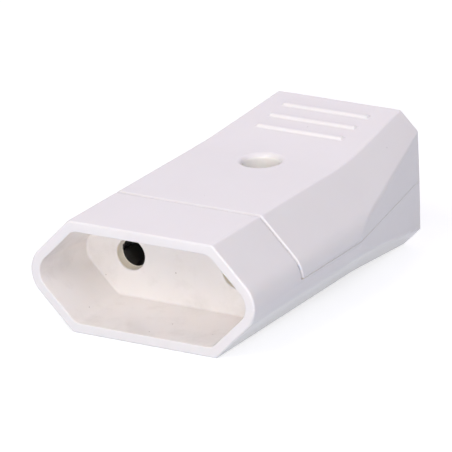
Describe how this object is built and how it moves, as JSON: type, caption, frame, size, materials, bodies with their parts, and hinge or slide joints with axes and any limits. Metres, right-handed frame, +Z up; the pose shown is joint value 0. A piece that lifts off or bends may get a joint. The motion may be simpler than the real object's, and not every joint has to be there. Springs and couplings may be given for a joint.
{
  "type": "line socket",
  "caption": "Flat two-pole line socket with a hexagonal plug recess at the front, a screwed-on cover with grip bars, slotted brass contacts and a clamped cable entry at the rear.",
  "frame": {"origin": "centre of the bounding box on the plane that the lowest edge touches", "axes": "+Z up, +X across the two pins, -Y the way the plug's recess faces, +Y towards the cable entry"},
  "size_m": [0.04, 0.0612, 0.0228],
  "materials": {
    "housing_white": "glossy injection-moulded white thermoplastic",
    "clamp_white": "plain injection-moulded white thermoplastic",
    "contact_brass": "turned brass, bare",
    "spring_steel": "hardened spring steel",
    "plated_steel": "zinc-plated steel"
  },
  "bodies": {
    "root": {"base_housing": "housing_white", "cover": "housing_white", "cord_clamp": "clamp_white", "contact_left": "contact_brass", "contact_right": "contact_brass", "spring_ring_left": "spring_steel", "spring_ring_right": "spring_steel", "terminal_screws": "plated_steel", "clamp_screws": "plated_steel", "cover_screw": "plated_steel", "cover_nut": "plated_steel"}
  },
  "joints": []
}
